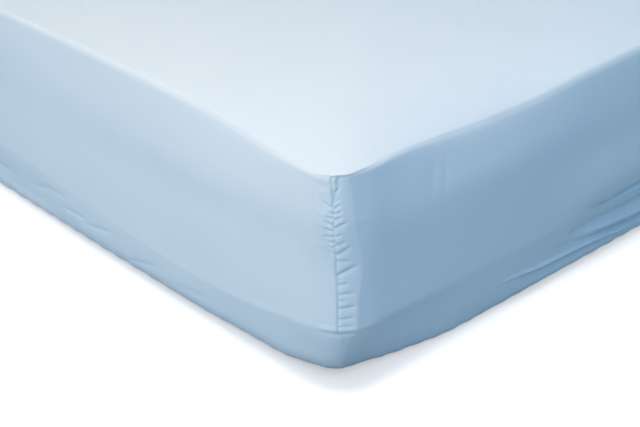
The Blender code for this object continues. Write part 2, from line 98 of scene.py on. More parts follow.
fittedSheet = {
    # The cloth's section, from the hem up to the middle of the top. soft and hard are how far it turns under,
    # on a soft hip and on a crisp one. The columns from hip on are the row's share of what hangs says.
    "sectionNames": ("inset", "soft", "hard", "z", "radius", "hip", "sag", "waist", "edge", "lean", "square"),
    "section": (
        (0.105, 0.0, 0.0, 0.0, 0.06, 0.0, 0.0, 0.0, 0.0, 0.0, 0.0),    # hem, under the mattress
        (0.0, 0.027, 0.0265, 0.0, 0.011, 0.0, 0.0, 0.0, 0.0, 0.0, 0.0),    # leaves the floor
        (0.0, 0.0185, 0.017, 0.0022, 0.015, 0.05, 0.0, 0.0, 0.0, 0.0, 0.0),
        (0.0, 0.014, 0.0142, 0.006, 0.0196, 0.1, 0.0, 0.0, 0.0, 0.0, 0.11),
        (0.0, 0.007, 0.0115, 0.02, 0.0256, 0.3, 0.0, 0.0, 0.0, 0.0, 0.42),
        (0.0, 0.003, 0.007, 0.042, 0.036, 0.64, 0.0, 0.1, 0.0, 0.0, 0.73),
        (0.0, 0.0008, 0.003, 0.058, 0.048, 0.88, 0.0, 0.2, 0.0, 0.0, 0.95),
        (0.0, 0.0003, 0.0008, 0.0645, 0.057, 1.0, 0.0, 0.2, 0.0, 0.0, 1.0),
        (0.0, 0.0, 0.0, 0.0685, 0.057, 1.0, 0.0, 0.3, 0.0, 0.0, 1.0),    # hip
        (0.0, 0.0, 0.0, 0.086, 0.057, 0.6, 0.0, 0.5, 0.0, 0.0, 1.0),
        (0.0, 0.0, 0.0, 0.115, 0.057, 0.2, 0.0, 0.8, 0.0, 0.0, 1.0),
        (0.0, 0.0, 0.0, 0.145, 0.057, 0.0, 0.0, 1.0, 0.0, 0.0, 1.0),    # waist
        (0.0, 0.0, 0.0, 0.178, 0.057, 0.0, 0.2, 0.6, 0.0, 0.09, 1.0),
        (0.0, 0.0, 0.0, 0.205, 0.057, 0.0, 0.5, 0.1, 0.0, 0.45, 1.0),
        (0.0012, 0.0, 0.0, 0.2355, 0.057, 0.0, 1.0, 0.0, 0.8, 0.95, 1.0),    # shoulder
        (0.0042, 0.0, 0.0, 0.244, 0.0535, 0.0, 1.0, 0.0, 0.75, 1.0, 1.0),
        (0.0105, 0.0, 0.0, 0.2484, 0.046, 0.0, 0.96, 0.0, 0.7, 0.95, 1.0),
        (0.045, 0.0, 0.0, 0.2496, 0.036, 0.0, 0.48, 0.0, 0.0, 0.45, 0.5),
        (0.1, 0.0, 0.0, 0.25, 0.03, 0.0, 0.1, 0.0, 0.0, 0.0, 0.05),
        (0.36, 0.0, 0.0, 0.25, 0.012, 0.0, 0.0, 0.0, 0.0, 0.0, 0.0),
    ),
    # How the cloth hangs round the mattress, at a length past each corner's seam: the height of the hip, how
    # much the side turns under, how far the top edge sags, the hollow of the side, how crisp the top edge and
    # the hip are, and how far the top edge is pulled in
    "hangNames": ("corner", "past", "hip", "turn", "sag", "waist", "edge", "crisp", "lean"),
    "hangs": (
        (0, -0.56, 0.07, 0.6, 0.0, 0.003, 0.8, 0.1, 0.002),
        (0, -0.44, 0.062, 0.6, 0.0, 0.0025, 0.8, 0.0, 0.005),
        (0, -0.33, 0.054, 0.65, 0.0005, 0.002, 0.8, 0.0, 0.007),
        (0, -0.22, 0.05, 0.75, 0.0025, 0.002, 0.8, 0.1, 0.009),
        (0, -0.165, 0.052, 0.96, 0.006, 0.0025, 0.8, 0.2, 0.011),
        (0, -0.11, 0.057, 1.1, 0.0125, 0.0035, 0.8, 0.3, 0.011),
        (0, -0.08, 0.0615, 1.45, 0.014, 0.004, 0.85, 0.3, 0.009),
        (0, -0.045, 0.067, 2.07, 0.014, 0.0045, 0.9, 0.35, 0.007),
        (0, -0.02, 0.0705, 2.26, 0.0123, 0.0045, 0.9, 0.45, 0.005),
        (0, 0.0, 0.073, 2.32, 0.0102, 0.0045, 0.9, 0.6, 0.005),
        (0, 0.02, 0.0735, 2.4, 0.01, 0.0048, 0.9, 0.8, 0.01),
        (0, 0.045, 0.0735, 2.33, 0.0105, 0.005, 0.9, 0.95, 0.016),
        (0, 0.08, 0.0722, 1.83, 0.013, 0.0043, 0.85, 0.95, 0.0185),
        (0, 0.12, 0.071, 1.36, 0.0165, 0.0035, 0.8, 0.9, 0.019),
        (0, 0.19, 0.0705, 0.76, 0.0205, 0.003, 0.75, 0.75, 0.0175),
        (0, 0.26, 0.07, 0.68, 0.02, 0.0025, 0.65, 0.6, 0.014),
        (0, 0.36, 0.0715, 0.75, 0.011, 0.0025, 0.5, 0.6, 0.009),
        (0, 0.48, 0.074, 0.74, 0.0065, 0.0025, 0.5, 0.6, 0.007),
        (0, 0.9, 0.066, 0.75, 0.002, 0.0045, 0.6, 0.2, 0.002),
        (1, -0.13, 0.064, 1.1, 0.004, 0.0035, 0.6, 0.6, 0.006),
        (1, -0.05, 0.068, 2.05, 0.01, 0.004, 0.6, 0.9, 0.005),
        (1, 0.0, 0.07, 2.3, 0.011, 0.004, 0.6, 1.0, 0.005),
        (1, 0.055, 0.066, 2.0, 0.009, 0.0035, 0.7, 0.9, 0.006),
        (1, 0.13, 0.06, 1.2, 0.006, 0.003, 0.7, 0.6, 0.007),
        (1, 0.44, 0.064, 0.7, 0.0, 0.0025, 1.0, 0.2, 0.001),
        (2, -0.13, 0.056, 1.15, 0.007, 0.0035, 0.8, 0.6, 0.008),
        (2, -0.05, 0.065, 2.1, 0.013, 0.004, 0.7, 0.8, 0.006),
        (2, 0.0, 0.071, 2.35, 0.013, 0.0045, 0.6, 1.0, 0.005),
        (2, 0.05, 0.071, 2.05, 0.009, 0.0045, 0.6, 0.9, 0.006),
        (2, 0.13, 0.067, 1.1, 0.005, 0.004, 0.6, 0.7, 0.008),
        (2, 0.9, 0.064, 0.75, 0.001, 0.004, 0.6, 0.2, 0.001),
        (3, -0.13, 0.07, 1.05, 0.004, 0.004, 0.6, 0.6, 0.008),
        (3, -0.05, 0.072, 2.05, 0.009, 0.004, 0.6, 0.9, 0.006),
        (3, 0.0, 0.07, 2.3, 0.012, 0.004, 0.6, 1.0, 0.005),
        (3, 0.05, 0.066, 2.0, 0.011, 0.0035, 0.7, 0.8, 0.006),
        (3, 0.12, 0.06, 1.2, 0.007, 0.003, 0.8, 0.6, 0.008),
    ),
    # The corner seams. Heights and widths up the seam: how far it leans to the plain side, and how wide the
    # allowance is that shows through the cloth beside it.
    "seam": {
        "leanHeights": (0.0, 0.107, 0.149, 0.183, 0.214, 0.235, 0.25),
        "lean": (0.0015, 0.002, 0.004, 0.006, 0.007, 0.008, 0.008),
        "leanReach": (0.018, 0.032),
        "wobble": 0.0005,
        "wobblePitch": 0.0115,
        "wobbleFrom": (0.14, 0.165),
        "allowanceHeights": (0.02, 0.032, 0.049, 0.072, 0.106, 0.122, 0.144, 0.172, 0.22, 0.24),
        "allowanceWidths": (0.005, 0.007, 0.011, 0.016, 0.018, 0.02, 0.022, 0.02, 0.016, 0.014),
        "allowanceRise": 0.0006,
        "allowanceEdge": 0.0036,
        "allowanceFoot": (0.004, 0.014),
        "allowanceTop": (0.186, 0.222),
        # the seam and its allowance pull the corner out square: how far out, past the seam on the plain side,
        # on the allowance and past the edge of that
        "squarePlain": ((-0.07, 0.0), (-0.045, 0.0003), (-0.02, 0.0026), (0.0, 0.0066)),
        "squareAllowance": ((0.0, 0.0066), (0.3, 0.0062), (0.6, 0.006), (1.0, 0.0064)),
        "squareBeyond": ((0.0, 0.0064), (0.0035, 0.0058), (0.009, 0.0044), (0.017, 0.0031), (0.027, 0.0022),
                         (0.05, 0.0012), (0.1, 0.0003), (0.14, 0.0)),
        "groove": 0.0013,
        "grooveReach": 0.001,
        "grooveFoot": (0.056, 0.078),
        "grooveTop": (0.238, 0.246),
        "lip": 0.0006,
        "lipReach": 0.004,
        "pleatHeights": (0.212, 0.222, 0.228, 0.24),
        "pleatWidths": (0.0, 0.0022, 0.0046, 0.005),
        "pleatEnds": (0.21, 0.216, 0.238, 0.244),
        "pleatRise": 0.0008,
        "pleatDepth": 0.0019,
        "allowanceStart": 0.0015,
        "reach": 0.08,
    },
    # Creases that the seam gathers up. The side is 1 on the allowance and -1 on the plain cloth. Then come
    # the heights at the seam and at the far end, how far it bows up, how far it reaches and how deep it is.
    "gathers": (
        (1, 0.21, 0.217, 0.0, 0.006, 0.0008),
        (1, 0.2055, 0.2105, 0.0, 0.0075, 0.001),
        (1, 0.1995, 0.2035, 0.0, 0.0075, 0.001),
        (1, 0.194, 0.198, 0.0, 0.0085, 0.0011),
        (1, 0.185, 0.1925, 0.0, 0.0115, 0.0013),
        (1, 0.176, 0.1785, 0.0, 0.0065, 0.0009),
        (1, 0.1655, 0.1715, 0.0, 0.0095, 0.0011),
        (1, 0.1555, 0.1655, 0.0, 0.014, 0.0015),
        (1, 0.149, 0.149, 0.0, 0.012, 0.0008),
        (1, 0.1335, 0.144, 0.0006, 0.0185, 0.0019),
        (1, 0.1285, 0.129, 0.0, 0.005, 0.0006),
        (1, 0.124, 0.1245, 0.0, 0.0095, 0.0011),
        (1, 0.113, 0.115, 0.0, 0.015, 0.0009),
        (1, 0.098, 0.1, 0.0004, 0.016, 0.0011),
        (1, 0.106, 0.107, 0.0, 0.008, 0.0006),
        (1, 0.0865, 0.0885, 0.0, 0.014, 0.0008),
        (1, 0.0785, 0.08, 0.0, 0.015, 0.0006),
        (1, 0.068, 0.07, 0.0, 0.015, 0.0009),
        (-1, 0.207, 0.2125, 0.0, 0.011, 0.0009),
        (-1, 0.2, 0.2015, 0.0, 0.005, 0.0007),
        (-1, 0.1955, 0.1965, 0.0, 0.0075, 0.0009),
        (-1, 0.188, 0.1915, 0.0, 0.009, 0.0011),
        (-1, 0.182, 0.1835, 0.0, 0.0095, 0.0011),
        (-1, 0.176, 0.1745, 0.0, 0.01, 0.001),
        (-1, 0.169, 0.17, 0.0, 0.0075, 0.001),
        (-1, 0.163, 0.1645, 0.0, 0.0065, 0.0007),
        (-1, 0.156, 0.159, 0.0, 0.006, 0.0006),
    ),
    "gatherShape": {
        "above": 0.001,
        "below": 0.0026,
        "startShare": 0.75,    # depth at the seam, as a share of the full one
        "fullAt": 0.4,    # shares of its reach: where it is deepest, fades, ends and is cut off
        "fadeFrom": 0.55,
        "fadeEnd": 1.1,
        "cutOff": 1.2,
        "depth": 1.6,
    },
    # Folds that lie along the sides: stations and heights of the line that each follows, how far it stands
    # out, or in if below 0, and how soft it is above and below the line
    "folds": (
        # long side by the near corner, as it is dragged towards its middle
        (((0.28, 0.088), (0.36, 0.098), (0.42, 0.1), (0.9, 0.098)), 0.0064, 0.05, 0.019),
        (((0.355, 0.038), (0.39, 0.04), (0.425, 0.0375), (0.47, 0.0335), (0.72, 0.0325), (0.92, 0.033)),
         0.0052, 0.0028, 0.0056),
        (((0.225, 0.037), (0.264, 0.0338), (0.308, 0.0288), (0.358, 0.026), (0.405, 0.023),
          (0.44, 0.019), (0.5, 0.014)),
         0.0043, 0.0025, 0.0013),
        (((0.245, 0.014), (0.303, 0.012), (0.34, 0.011), (0.421, 0.009), (0.7, 0.009), (0.86, 0.009)),
         0.004, 0.01, 0.008),
        # the same side by its other corner
        (((1.3, 0.09), (1.4, 0.094), (1.55, 0.095), (1.72, 0.088)), 0.0045, 0.045, 0.014),
        (((1.42, 0.047), (1.5, 0.05), (1.58, 0.046), (1.7, 0.036)), 0.0045, 0.0035, 0.006),
        # the far long side
        (((3.08, 0.04), (3.16, 0.047), (3.26, 0.049), (3.46, 0.046)), 0.005, 0.004, 0.006),
        (((-1.52, 0.043), (-1.42, 0.046), (-1.3, 0.044), (-1.14, 0.036)), 0.0048, 0.0036, 0.006),
        # near end: the hollow at its foot
        (((-0.7, 0.022), (-0.58, 0.022), (-0.52, 0.022), (-0.42, 0.02)), -0.0035, 0.028, 0.012),
    ),
    # Creases, fine or short: points of the line (station, height), how deep it is, and how wide it is on its
    # upper or right side and on the other
    "creases": (
        (((0.325, 0.043), (0.35, 0.0385), (0.405, 0.029), (0.476, 0.021), (0.72, 0.0215)),
         0.0046, 0.005, 0.001),
        (((0.352, 0.0495), (0.41, 0.0475), (0.46, 0.0425), (0.74, 0.041)), 0.0092, 0.019, 0.0022),
        (((0.372, 0.0725), (0.395, 0.069), (0.419, 0.0645), (0.44, 0.0652), (0.47, 0.0662), (0.62, 0.0665)),
         0.005, 0.01, 0.0007),
        (((0.27, 0.031), (0.308, 0.026), (0.358, 0.0232), (0.405, 0.0204), (0.44, 0.0165)),
         0.0032, 0.0009, 0.0016),
        (((0.108, 0.176), (0.112, 0.197), (0.113, 0.216)), 0.0015, 0.002, 0.003),
        (((0.128, 0.176), (0.13, 0.195), (0.13, 0.216)), 0.0015, 0.002, 0.003),
        (((0.076, 0.196), (0.078, 0.21), (0.079, 0.222)), 0.0008, 0.002, 0.004),
        (((-0.45, 0.148), (-0.33, 0.144), (-0.26, 0.145), (-0.19, 0.149), (-0.11, 0.154)),
         0.0014, 0.007, 0.016),
        (((0.014, 0.184), (0.064, 0.187), (0.121, 0.181), (0.18, 0.176)), 0.001, 0.004, 0.012),
        (((0.3, 0.15), (0.38, 0.153), (0.46, 0.141), (0.6, 0.138)), 0.0018, 0.005, 0.016),
        (((-0.74, 0.033), (-0.62, 0.0332), (-0.576, 0.0336), (-0.545, 0.0345)), 0.0044, 0.011, 0.035),
        (((-0.133, 0.06), (-0.087, 0.068), (-0.043, 0.0735), (-0.003, 0.079)), 0.0008, 0.004, 0.0018),
        (((-0.515, 0.0365), (-0.5, 0.04), (-0.48, 0.0445)), 0.0018, 0.0012, 0.0022),
        (((-0.5, 0.0465), (-0.47, 0.0485), (-0.445, 0.0465)), 0.0012, 0.0012, 0.0022),
        (((-0.45, 0.031), (-0.435, 0.0335), (-0.412, 0.035)), 0.0018, 0.0012, 0.0022),
        (((-0.415, 0.0262), (-0.39, 0.0322), (-0.362, 0.0392)), 0.0016, 0.0012, 0.0022),
        (((-0.342, 0.0125), (-0.314, 0.0215), (-0.285, 0.03)), 0.0018, 0.0012, 0.0022),
        (((-0.255, 0.018), (-0.235, 0.0235), (-0.205, 0.029)), 0.0013, 0.0014, 0.0024),
        (((-0.075, 0.0385), (-0.04, 0.0428), (-0.008, 0.0432)), 0.001, 0.002, 0.004),
        (((-0.072, 0.015), (-0.038, 0.018), (-0.017, 0.0138)), 0.0012, 0.002, 0.004),
        # the sides that the picture leaves out
        (((1.4, 0.036), (1.5, 0.038), (1.6, 0.033), (1.7, 0.026)), 0.0036, 0.005, 0.0014),
        (((1.46, 0.058), (1.55, 0.06), (1.66, 0.052)), 0.0038, 0.01, 0.0024),
        (((1.48, 0.15), (1.62, 0.146), (1.8, 0.153)), 0.0016, 0.006, 0.016),
        (((2.08, 0.052), (2.18, 0.047), (2.3, 0.045), (2.4, 0.047)), 0.003, 0.01, 0.03),
        (((2.14, 0.028), (2.16, 0.034), (2.19, 0.039)), 0.0016, 0.0014, 0.0024),
        (((2.24, 0.022), (2.265, 0.029), (2.3, 0.034)), 0.0018, 0.0014, 0.0024),
        (((2.5, 0.036), (2.54, 0.031), (2.57, 0.022)), 0.0016, 0.0014, 0.0024),
        (((2.18, 0.147), (2.38, 0.143), (2.62, 0.15)), 0.0014, 0.007, 0.016),
        (((3.06, 0.032), (3.18, 0.036), (3.3, 0.034), (3.5, 0.031)), 0.0038, 0.005, 0.0014),
        (((3.12, 0.058), (3.24, 0.062), (3.4, 0.06)), 0.0038, 0.009, 0.0024),
        (((3.05, 0.15), (3.35, 0.144), (3.7, 0.147)), 0.0014, 0.006, 0.016),
        (((-1.5, 0.03), (-1.38, 0.033), (-1.26, 0.029), (-1.12, 0.022)), 0.0036, 0.005, 0.0014),
        (((-1.44, 0.06), (-1.32, 0.058), (-1.2, 0.05)), 0.0036, 0.009, 0.0024),
        (((-1.76, 0.145), (-1.45, 0.149), (-1.08, 0.144)), 0.0014, 0.007, 0.016),
    ),
    "creaseReach": 0.03,    # how far past its line a crease is worked out
    # The elastic in the hem puckers the cloth under the mattress and a little way up its side. Waves round
    # the bed are (size, count, shift).
    "pucker": {
        "count": 214,
        "drift": ((1.9, 7, 0.6), (1.2, 17, 2.1)),
        "size": 0.62,
        "swell": ((0.25, 11, 1.0), (0.13, 29, 0.0)),
        "hem": 0.0026,
        "lift": 0.0005,
        "edge": 0.0009,
        "foot": 0.004,
        "top": 0.04,
        "corner": (0.03, 0.11),    # they start this far from a seam
    },
    # slack in the stretched cloth: how wide its soft swells are, how high they stand, and where they are on
    # the sides
    "slack": {
        "wide": 0.21,
        "narrow": 0.065,
        "wideRise": 0.0011,
        "narrowRise": 0.0003,
        "inward": 0.5,
        "seed": 4.0,
        "sideFoot": (0.02, 0.06),
        "sideTop": (0.225, 0.244),
    },
    # the flat strip's grid: columns either side of a seam, then the spacing of those between on each run
    "grid": {
        "corner": (-0.085, -0.07, -0.057, -0.045, -0.034, -0.026, -0.02, -0.015, -0.01, -0.005, 0.0,
                   0.005, 0.01, 0.015, 0.02, 0.025, 0.03, 0.038, 0.047, 0.058, 0.07, 0.085),
        "runSpacing": (0.021, 0.018, 0.02, 0.018),
        "heights": (0.0022, 0.006, 0.01, 0.015, 0.02, 0.027, 0.034, 0.042, 0.05, 0.058, 0.0645, 0.069,
                    0.074, 0.08, 0.086, 0.095, 0.106, 0.12, 0.134, 0.148, 0.162, 0.176, 0.19, 0.204,
                    0.215, 0.223, 0.23, 0.236, 0.2395, 0.2425, 0.2445, 0.246, 0.2475, 0.2485),
        "underDepths": (0.012, 0.018, 0.027, 0.04, 0.057),
        "topInsets": (0.016, 0.024, 0.034, 0.045, 0.065, 0.1, 0.145, 0.2, 0.27, 0.36),
        "hemCuts": (3, 1),    # finer cells under the hem
        "thickness": 0.0004,
        # finer cells by the seams, at the near corner and at the others, and by the folds
        "seamCuts": (((-0.015, 0.03), 0.01, 0.058, ((3, 3), (2, 2))),
                     ((-0.015, 0.03), 0.058, 0.2475, ((4, 13), (2, 3)))),
        "foldCuts": (
            (0.24, 0.62, 0.0, 0.1, (3, 6)), (0.62, 0.92, 0.0, 0.1, (1, 4)),
            (0.37, 0.63, 0.058, 0.0745, (1, 2)), (0.08, 0.24, 0.0, 0.04, (3, 3)),
            (0.1, 0.15, 0.176, 0.23, (6, 1)), (-0.66, -0.25, 0.0, 0.07, (3, 4)),
            (-0.25, -0.085, 0.0, 0.07, (2, 2)), (1.38, 1.73, 0.0, 0.066, (1, 4)),
            (2.12, 2.32, 0.015, 0.05, (3, 3)), (2.48, 2.58, 0.015, 0.042, (3, 3)),
            (3.03, 3.52, 0.0, 0.066, (1, 4)), (-1.54, -1.1, 0.0, 0.066, (1, 4)),
        ),
    },
    # the rectangle that it was cut to, and the square taken out at each corner
    "cut": {"flat": (1.562, 2.662), "corner": 0.331},
}
section, hangs = np.array(fittedSheet["section"]), np.array(fittedSheet["hangs"])
seam, pucker, slack, grid = (fittedSheet[part] for part in ("seam", "pucker", "slack", "grid"))
floorRow, shoulderRow, rimRow = 1, 14, 18    # rows of the section


def inStrip(station):
    return (station - stripStart) % girth + stripStart


def curveThrough(at, xs, ys):
    # smooth curve through a table's points that never overshoots them
    xs, ys = np.asarray(xs, float), np.asarray(ys, float)
    step = np.diff(xs)
    slope = np.diff(ys) / step
    same = slope[:-1] * slope[1:] > 0
    before, after = np.where(same, slope[:-1], 1.0), np.where(same, slope[1:], 1.0)
    weight = 3 * (step[:-1] + step[1:])
    mean = weight / ((2 * step[1:] + step[:-1]) / before + (step[1:] + 2 * step[:-1]) / after)
    lean = np.concatenate(((slope[0],), np.where(same, mean, 0.0), (slope[-1],)))
    at = np.clip(at, xs[0], xs[-1])
    i = np.clip(np.searchsorted(xs, at, side="right") - 1, 0, len(xs) - 2)
    t = (at - xs[i]) / step[i]
    rise = (3 - 2 * t) * t * t
    return (ys[i] * (1 - rise) + ys[i + 1] * rise
            + step[i] * lean[i] * t * (1 - t) ** 2 - step[i] * lean[i + 1] * t * t * (1 - t))


def rampUp(value, low, high):
    t = np.clip((value - low) / (high - low), 0.0, 1.0)
    return t * t * (3 - 2 * t)


def within(value, rise, fall):
    # 1 between two ramps, each given as where it starts and ends
    return rampUp(value, *rise) * (1 - rampUp(value, *fall))


def wavesRound(turn, waves):
    return sum(size * np.sin(count * turn + shift) for size, count, shift in waves)


def sectionColumn(name):
    return section[:, fittedSheet["sectionNames"].index(name)]


sectionRun = np.diff(sectionColumn("inset") + sectionColumn("soft"))
sectionDepths = np.concatenate(((0.0,), np.cumsum(np.hypot(sectionRun, np.diff(sectionColumn("z"))))))
hangStations = seams[hangs[:, 0].astype(int)] + hangs[:, 1]


def hangAt(station, name):
    values = hangs[:, fittedSheet["hangNames"].index(name)]
    xs = np.concatenate((hangStations - girth, hangStations, hangStations + girth))
    return curveThrough(inStrip(station), xs, np.tile(values, 3))


def depthAt(z):
    # depth of the cloth at a height on the side
    rows = slice(floorRow, rimRow)
    return float(np.interp(z, sectionColumn("z")[rows], sectionDepths[rows]))


def topDepthAt(inset):
    # depth of the cloth on the top, at a distance from its edge
    rows = slice(shoulderRow + 2, None)
    return float(np.interp(inset, sectionColumn("inset")[rows], sectionDepths[rows]))


def sectionAt(station, depth):
    # inset, height and corner radius of the hanging cloth, before its folds
    column = {name: curveThrough(depth, sectionDepths, sectionColumn(name))
              for name in fittedSheet["sectionNames"]}
    crispEdge = column["edge"] * hangAt(station, "edge")
    crispHip = hangAt(station, "crisp")
    under = column["soft"] * (1 - crispHip) + column["hard"] * crispHip
    inset = column["inset"] * (1 - crispEdge) + under * hangAt(station, "turn")
    inset = inset + column["waist"] * hangAt(station, "waist") + column["lean"] * hangAt(station, "lean")
    z = column["z"] + crispEdge * (bed["height"] - column["z"])
    z = z + column["hip"] * (hangAt(station, "hip") - bed["hipHeight"])
    z = z - column["sag"] * hangAt(station, "sag")
    return inset, z, column["radius"]


def outlineAt(station, inset, radius):
    # points and outward directions on the outline drawn in by inset, with its corners rounded to radius
    place = (station + arc / 2) % girth
    corner = np.clip(np.searchsorted(seams, place, side="right") - 1, 0, 3)
    past = place - seams[corner] - arc / 2

    def onCorner(k, angle):
        signs = cornerSigns[k % 4]
        x = signs[..., 0] * (bed["width"] / 2 - inset - radius) + radius * np.cos(angle)
        y = signs[..., 1] * (bed["length"] / 2 - inset - radius) + radius * np.sin(angle)
        return np.stack((x, y), axis=-1)

    endAngle = corner * math.pi / 2
    onArc = past <= arc / 2
    angle = np.where(onArc, endAngle - math.pi / 4 + past / bed["cornerRadius"], endAngle)
    share = np.where(onArc, 0.0, (past - arc / 2) / runs[corner])[..., None]
    points = onCorner(corner, angle) * (1 - share) + onCorner(corner + 1, endAngle) * share
    return points, np.stack((np.cos(angle), np.sin(angle)), axis=-1)


def nearestSeam(station):
    pasts = (station[..., None] - seams + girth / 2) % girth - girth / 2
    corner = np.argmin(np.abs(pasts), axis=-1)
    return corner, np.take_along_axis(pasts, corner[..., None], axis=-1)[..., 0]


def seamRelief(across, z):
    width = curveThrough(z, seam["allowanceHeights"], seam["allowanceWidths"])
    body = within(z, seam["allowanceFoot"], seam["allowanceTop"])
    beyond = rampUp(across - width, 0.0, seam["allowanceEdge"])
    band = rampUp(across, 0.0, seam["allowanceStart"]) * (1 - beyond)
    relief = seam["allowanceRise"] * band * body
    line = within(z, seam["grooveFoot"], seam["grooveTop"])
    relief -= seam["groove"] * line * np.exp(-np.abs(across) / seam["grooveReach"])
    relief += seam["lip"] * line * np.where(across < 0, np.exp(across / seam["lipReach"]), 0.0)
    # the small pleat at the top, between the seam's line and a second one
    second = across - curveThrough(z, seam["pleatHeights"], seam["pleatWidths"])
    pleat = within(z, seam["pleatEnds"][:2], seam["pleatEnds"][2:])
    relief -= seam["pleatDepth"] * pleat * np.exp(-np.abs(second) / seam["grooveReach"])
    between = (across > 0) & (second < 0)
    return relief + seam["pleatRise"] * pleat * between


def squareRise(across, z):
    # how far the seam and its allowance pull the corner out
    width = curveThrough(z, seam["allowanceHeights"], seam["allowanceWidths"])
    share = np.clip(across / width, 0.0, 1.0)
    plain = curveThrough(across, *zip(*seam["squarePlain"]))
    on = curveThrough(share, *zip(*seam["squareAllowance"]))
    beyond = curveThrough(across - width, *zip(*seam["squareBeyond"]))
    return np.where(across < 0, plain, np.where(across < width, on, beyond))


def gatherRelief(across, z):
    shape = fittedSheet["gatherShape"]
    relief = np.zeros_like(across)
    for side, seamHeight, endHeight, bow, reach, depth in fittedSheet["gathers"]:
        away = np.clip(across * side / reach, 0.0, shape["cutOff"])
        line = seamHeight + (endHeight - seamHeight) * away + bow * 4 * away * (1 - away)
        start = shape["startShare"] + (1 - shape["startShare"]) * rampUp(away, 0.0, shape["fullAt"])
        size = start * (1 - rampUp(away, shape["fadeFrom"], shape["fadeEnd"])) * (across * side > 0)
        off = z - line
        relief -= depth * size * np.exp(-np.where(off > 0, off / shape["above"], -off / shape["below"]))
    return relief * shape["depth"]


def foldRelief(station, z):
    relief = np.zeros_like(station)
    for points, out, above, below in fittedSheet["folds"]:
        stations, heights = zip(*points)
        size = within(station, (stations[0], stations[2]), stations[-2:])
        off = z - curveThrough(station, stations, heights)
        relief += out * size * np.exp(-(off / np.where(off > 0, above, below)) ** 2)
    return relief


def creaseRelief(station, z):
    relief = np.zeros_like(station)
    for points, depth, above, below in fittedSheet["creases"]:
        points = np.array(points)
        pieces = np.linalg.norm(np.diff(points, axis=0), axis=1)
        length, passed = pieces.sum(), 0.0
        low = points.min(axis=0) - fittedSheet["creaseReach"]
        high = points.max(axis=0) + fittedSheet["creaseReach"]
        near = np.nonzero((station > low[0]) & (station < high[0]) & (z > low[1]) & (z < high[1]))[0]
        nearest = np.full(len(near), np.inf)
        size = np.zeros(len(near))
        for start, end, piece in zip(points, points[1:], pieces):
            way = (end - start) / piece
            off = np.column_stack((station[near], z[near])) - start
            along = np.clip(off @ way, 0.0, piece)
            away = np.hypot(*(off - along[:, None] * way).T)
            upper = off[:, 1] * way[0] - off[:, 0] * way[1] > 0
            share = (passed + along) / length
            fade = np.sqrt(np.clip(4 * share * (1 - share), 0, 1))
            profile = np.exp(-away / np.where(upper, above, below)) * fade
            closer = away < nearest
            nearest[closer], size[closer] = away[closer], profile[closer]
            passed += piece
        relief[near] -= depth * size
    return relief


def puckerWave(station):
    turn = 2 * math.pi * station / girth
    phase = pucker["count"] * turn + wavesRound(turn, pucker["drift"])
    return (pucker["size"] + wavesRound(turn, pucker["swell"])) * np.sin(phase)


def slackRise(points):
    # swells of the cloth, kept inside the mattress's own size
    shift = Vector((slack["seed"], 0, 0))
    rise = []
    for point in points:
        place = Vector(point)
        wide = noise.noise(place / slack["wide"] + shift) - slack["inward"]
        narrow = noise.noise(place / slack["narrow"] + shift)
        rise.append(slack["wideRise"] * wide + slack["narrowRise"] * narrow)
    return np.array(rise)


def clothPoints(station, depth):
    corner, past = nearestSeam(station)
    side = allowanceSides[corner]
    across = past * side
    level = sectionAt(station, depth)[1]    # height of the plain cloth there
    onSide = (depth > sectionDepths[floorRow]) & (depth < sectionDepths[shoulderRow + 1])
    # the folds and the seams
    relief = (foldRelief(station, level) + creaseRelief(station, level)) * onSide
    near = (np.abs(across) < seam["reach"]) & onSide
    topFade = 1 - rampUp(depth[near], *sectionDepths[shoulderRow:shoulderRow + 2])
    atSeam = seamRelief(across[near], level[near]) + gatherRelief(across[near], level[near])
    relief[near] += atSeam * topFade
    relief += squareRise(across, level) * curveThrough(depth, sectionDepths, sectionColumn("square"))
    # where the cloth hangs, drawn aside by the lean of the seam
    lean = curveThrough(level, seam["leanHeights"], seam["lean"])
    wobble = seam["wobble"] * rampUp(level, *seam["wobbleFrom"])
    wobble = wobble * np.sin(2 * math.pi * level / seam["wobblePitch"])
    leanShare = 1 - rampUp(np.abs(past), *seam["leanReach"])
    placed = station - side * (lean + wobble) * leanShare * (depth > sectionDepths[floorRow])
    inset, height, radius = sectionAt(placed, depth)
    # the pull of the elastic
    wave = puckerWave(station)
    outside = rampUp(depth, 0.0, sectionDepths[floorRow])
    onEdge = outside * (1 - rampUp(height, pucker["foot"], pucker["top"]))
    relief += pucker["edge"] * onEdge * wave * onSide * rampUp(np.abs(past), *pucker["corner"])
    height = height + ((0.5 + 0.5 * wave) * pucker["hem"] + pucker["lift"]) * (1 - outside)
    # the swells of the slack cloth
    points, outward = outlineAt(placed, inset, radius)
    swell = slackRise(np.column_stack((points, height)))
    relief += swell * within(height, slack["sideFoot"], slack["sideTop"])
    height = height + swell * rampUp(depth, sectionDepths[shoulderRow + 2], sectionDepths[rimRow])
    points = points + outward * relief[:, None]
    return np.column_stack((points, height))


def columnsRound(marks, sides, spacings):
    # stations of the columns: the marks at each seam, and evenly spaced ones between
    found = []
    wing = marks[-1]
    for k in range(4):
        found += [seams[k] + sides[k] * mark for mark in marks]
        length = runs[k] + arc - 2 * wing
        cells = round(length / spacings[k])
        found += [seams[k] + wing + length * i / cells for i in range(1, cells)]
    found = sorted(inStrip(station) for station in found)
    return [stripStart] + [s for s in found if s - stripStart > apart] + [stripStart + girth]


def rowsUp(heights, topInsets):
    return [depthAt(z) for z in heights] + [topDepthAt(inset) for inset in topInsets]


def flatGrid(bm, columns, rows):
    made = bmesh.ops.create_grid(bm, x_segments=len(columns) - 1, y_segments=len(rows) - 1, size=0.5)
    for vert in made["verts"]:
        column = round((vert.co.x + 0.5) * (len(columns) - 1))
        row = round((vert.co.y + 0.5) * (len(rows) - 1))
        vert.co = (columns[column], rows[row], 0.0)


